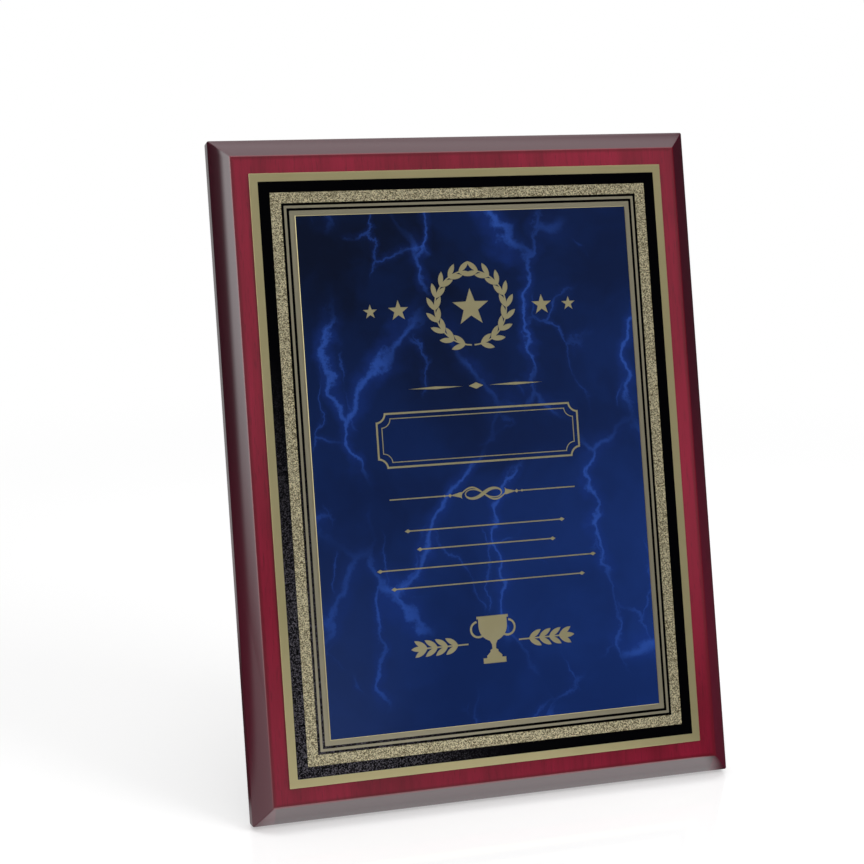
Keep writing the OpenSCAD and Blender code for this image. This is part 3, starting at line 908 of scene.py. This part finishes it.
SET_OUT = set_out_tree()
cross = cross_recess(CROSS_DEPTH)
corner_pieces("pan_head_screws", "bracket_screws", pan_outline(depth_of("bracket_screws") - PAN_H),
              HEAD_R, SCREW, "screw_steel", 2, cross)
corner_pieces("sunk_head_screws", "hanger_screws", sunk_outline(depth_of("hanger_screws")),
              HEAD_R, SCREW, "screw_steel", 1, cross)
corner_pieces("rubber_bumpers", "back_bumpers", bumper_outline(depth_of("back_bumpers")),
              BUMPER_R, RUBBER, "rubber", 2)
bpy.data.objects.remove(cross)

for node, finish in (("backing_sheet", BACK), ("plate_tape", TAPE), ("panel_film", FILM)):
    mesh = frame["nodes"][node].data
    mesh.materials.clear()
    mesh.materials.append(finish)


# ---- Studio ----

FLOOR_HALF = 3.0
FADE_FROM = 0.35
FADE_TO = 0.9
GLOW = 0.42
MIRRORED_GLOW = 0.5
CARD_EDGE = 0.01
AMBIENT = 0.36


def studio_light(side, behind, height):
    """How bright gloss sees the studio: behind, above, at the left and from the front."""
    backdrop = 0.5 * behind.rise(0.7, 0.86)
    ceiling = 0.76 * height.rise(0.7, 0.92)
    panel = side.rise(-0.99, -0.955) * side.rise(-0.5, -0.65)
    panel = panel * behind.rise(0.05, -0.05) * height.rise(-0.1, 0.25)
    spill = side.rise(0.1, -0.3) * side.rise(-0.97, -0.8) * behind.rise(0.05, -0.05)
    front = behind.rise(-0.6, -0.8)
    window = (height + 0.4 * side).rise(0.22, 0.36)
    haze = side.rise(0.4, 0.1) * height.rise(0.25, 0.0)
    front = front * (0.12 * window + 0.14 * haze)
    return 0.02 + 0.14 * spill + backdrop.most(ceiling) + 1.7 * panel + front


def make_floor():
    """A pale, faintly glossy floor that fades into the white background."""
    size = FLOOR_HALF
    mesh = bpy.data.meshes.new("floor")
    corners = [(-size, -size, 0), (size, -size, 0), (size, size, 0), (-size, size, 0)]
    mesh.from_pydata(corners, [], [(0, 1, 2, 3)])
    floor = bpy.data.objects.new("floor", mesh)
    bpy.context.scene.collection.objects.link(floor)
    paint = Finish("floor_white")
    place = paint.add("TexCoord", {}, {}, 3)
    x, y, z = paint.parts(place)
    far = (x * x + y * y).root().rise(FADE_FROM, FADE_TO)
    seen = paint.add("LightPath")
    mirrored = seen.also("Is Glossy Ray")
    shaded = paint.add("BsdfPrincipled", {}, {
        "Base Color": (0.74, 0.74, 0.74, 1.0), "Roughness": 0.06, "IOR": 1.7})
    level = (x * x + y * y).root().most(0.001)
    studio = studio_light(x / level, y / level, z)
    white = paint.add("Emission", {}, {"Strength": seen + (1.0 - seen) * studio})
    glow = paint.add("Emission", {}, {"Strength": GLOW * seen + MIRRORED_GLOW * mirrored})
    lifted = paint.add("AddShader", {}, {0: shaded, 1: glow})
    # Gloss sees the lit floor only in front of the board. The rest is dark card.
    lit = (1.0 - far) * abs(x).rise(core_high.x, core_high.x - CARD_EDGE)
    share = seen * far + mirrored * (1.0 - lit)
    mixed = paint.add("MixShader", {}, {0: share, 1: lifted, 2: white})
    paint.add("OutputMaterial", {}, {"Surface": mixed})
    mesh.materials.append(paint.material)


def make_world():
    """White to the camera, a soft even light, and a studio of panels for gloss."""
    world = bpy.data.worlds.new("studio")
    bpy.context.scene.world = world
    sky = Tree(world)
    x, y, z = sky.parts(sky.add("TexCoord", {}, {}, 0))
    level = (x * x + y * y).root().most(0.001)
    studio = studio_light(x / level, y / level, z)
    seen = sky.add("LightPath")
    mirrored = seen.also("Is Glossy Ray")
    clear = seen.most(seen.also("Is Transmission Ray"))
    strength = clear + (1.0 - clear) * (mirrored * studio + (1.0 - mirrored) * AMBIENT)
    shader = sky.add("Background", {}, {"Color": (1.0, 1.0, 1.0, 1.0), "Strength": strength})
    sky.add("OutputWorld", {}, {"Surface": shader})


def lamp(name, place, aim, size, power):
    """A soft rectangular lamp that gloss doesn't show."""
    light = bpy.data.lights.new(name, "AREA")
    light.shape = "SQUARE"
    light.size = size
    light.energy = power
    item = bpy.data.objects.new(name, light)
    item.location = place
    item.rotation_euler = (Vector(aim) - Vector(place)).to_track_quat("-Z", "Y").to_euler()
    item.visible_glossy = False
    item.visible_camera = False
    bpy.context.scene.collection.objects.link(item)


make_floor()
make_world()
lamp("key", (0.9, -0.8, 1.0), (0, 0, 0.12), 0.7, 9.0)
lamp("top", (-0.1, 0.1, 1.4), (0, 0, 0.0), 1.1, 9.0)

bpy.context.scene.view_settings.view_transform = "Standard"
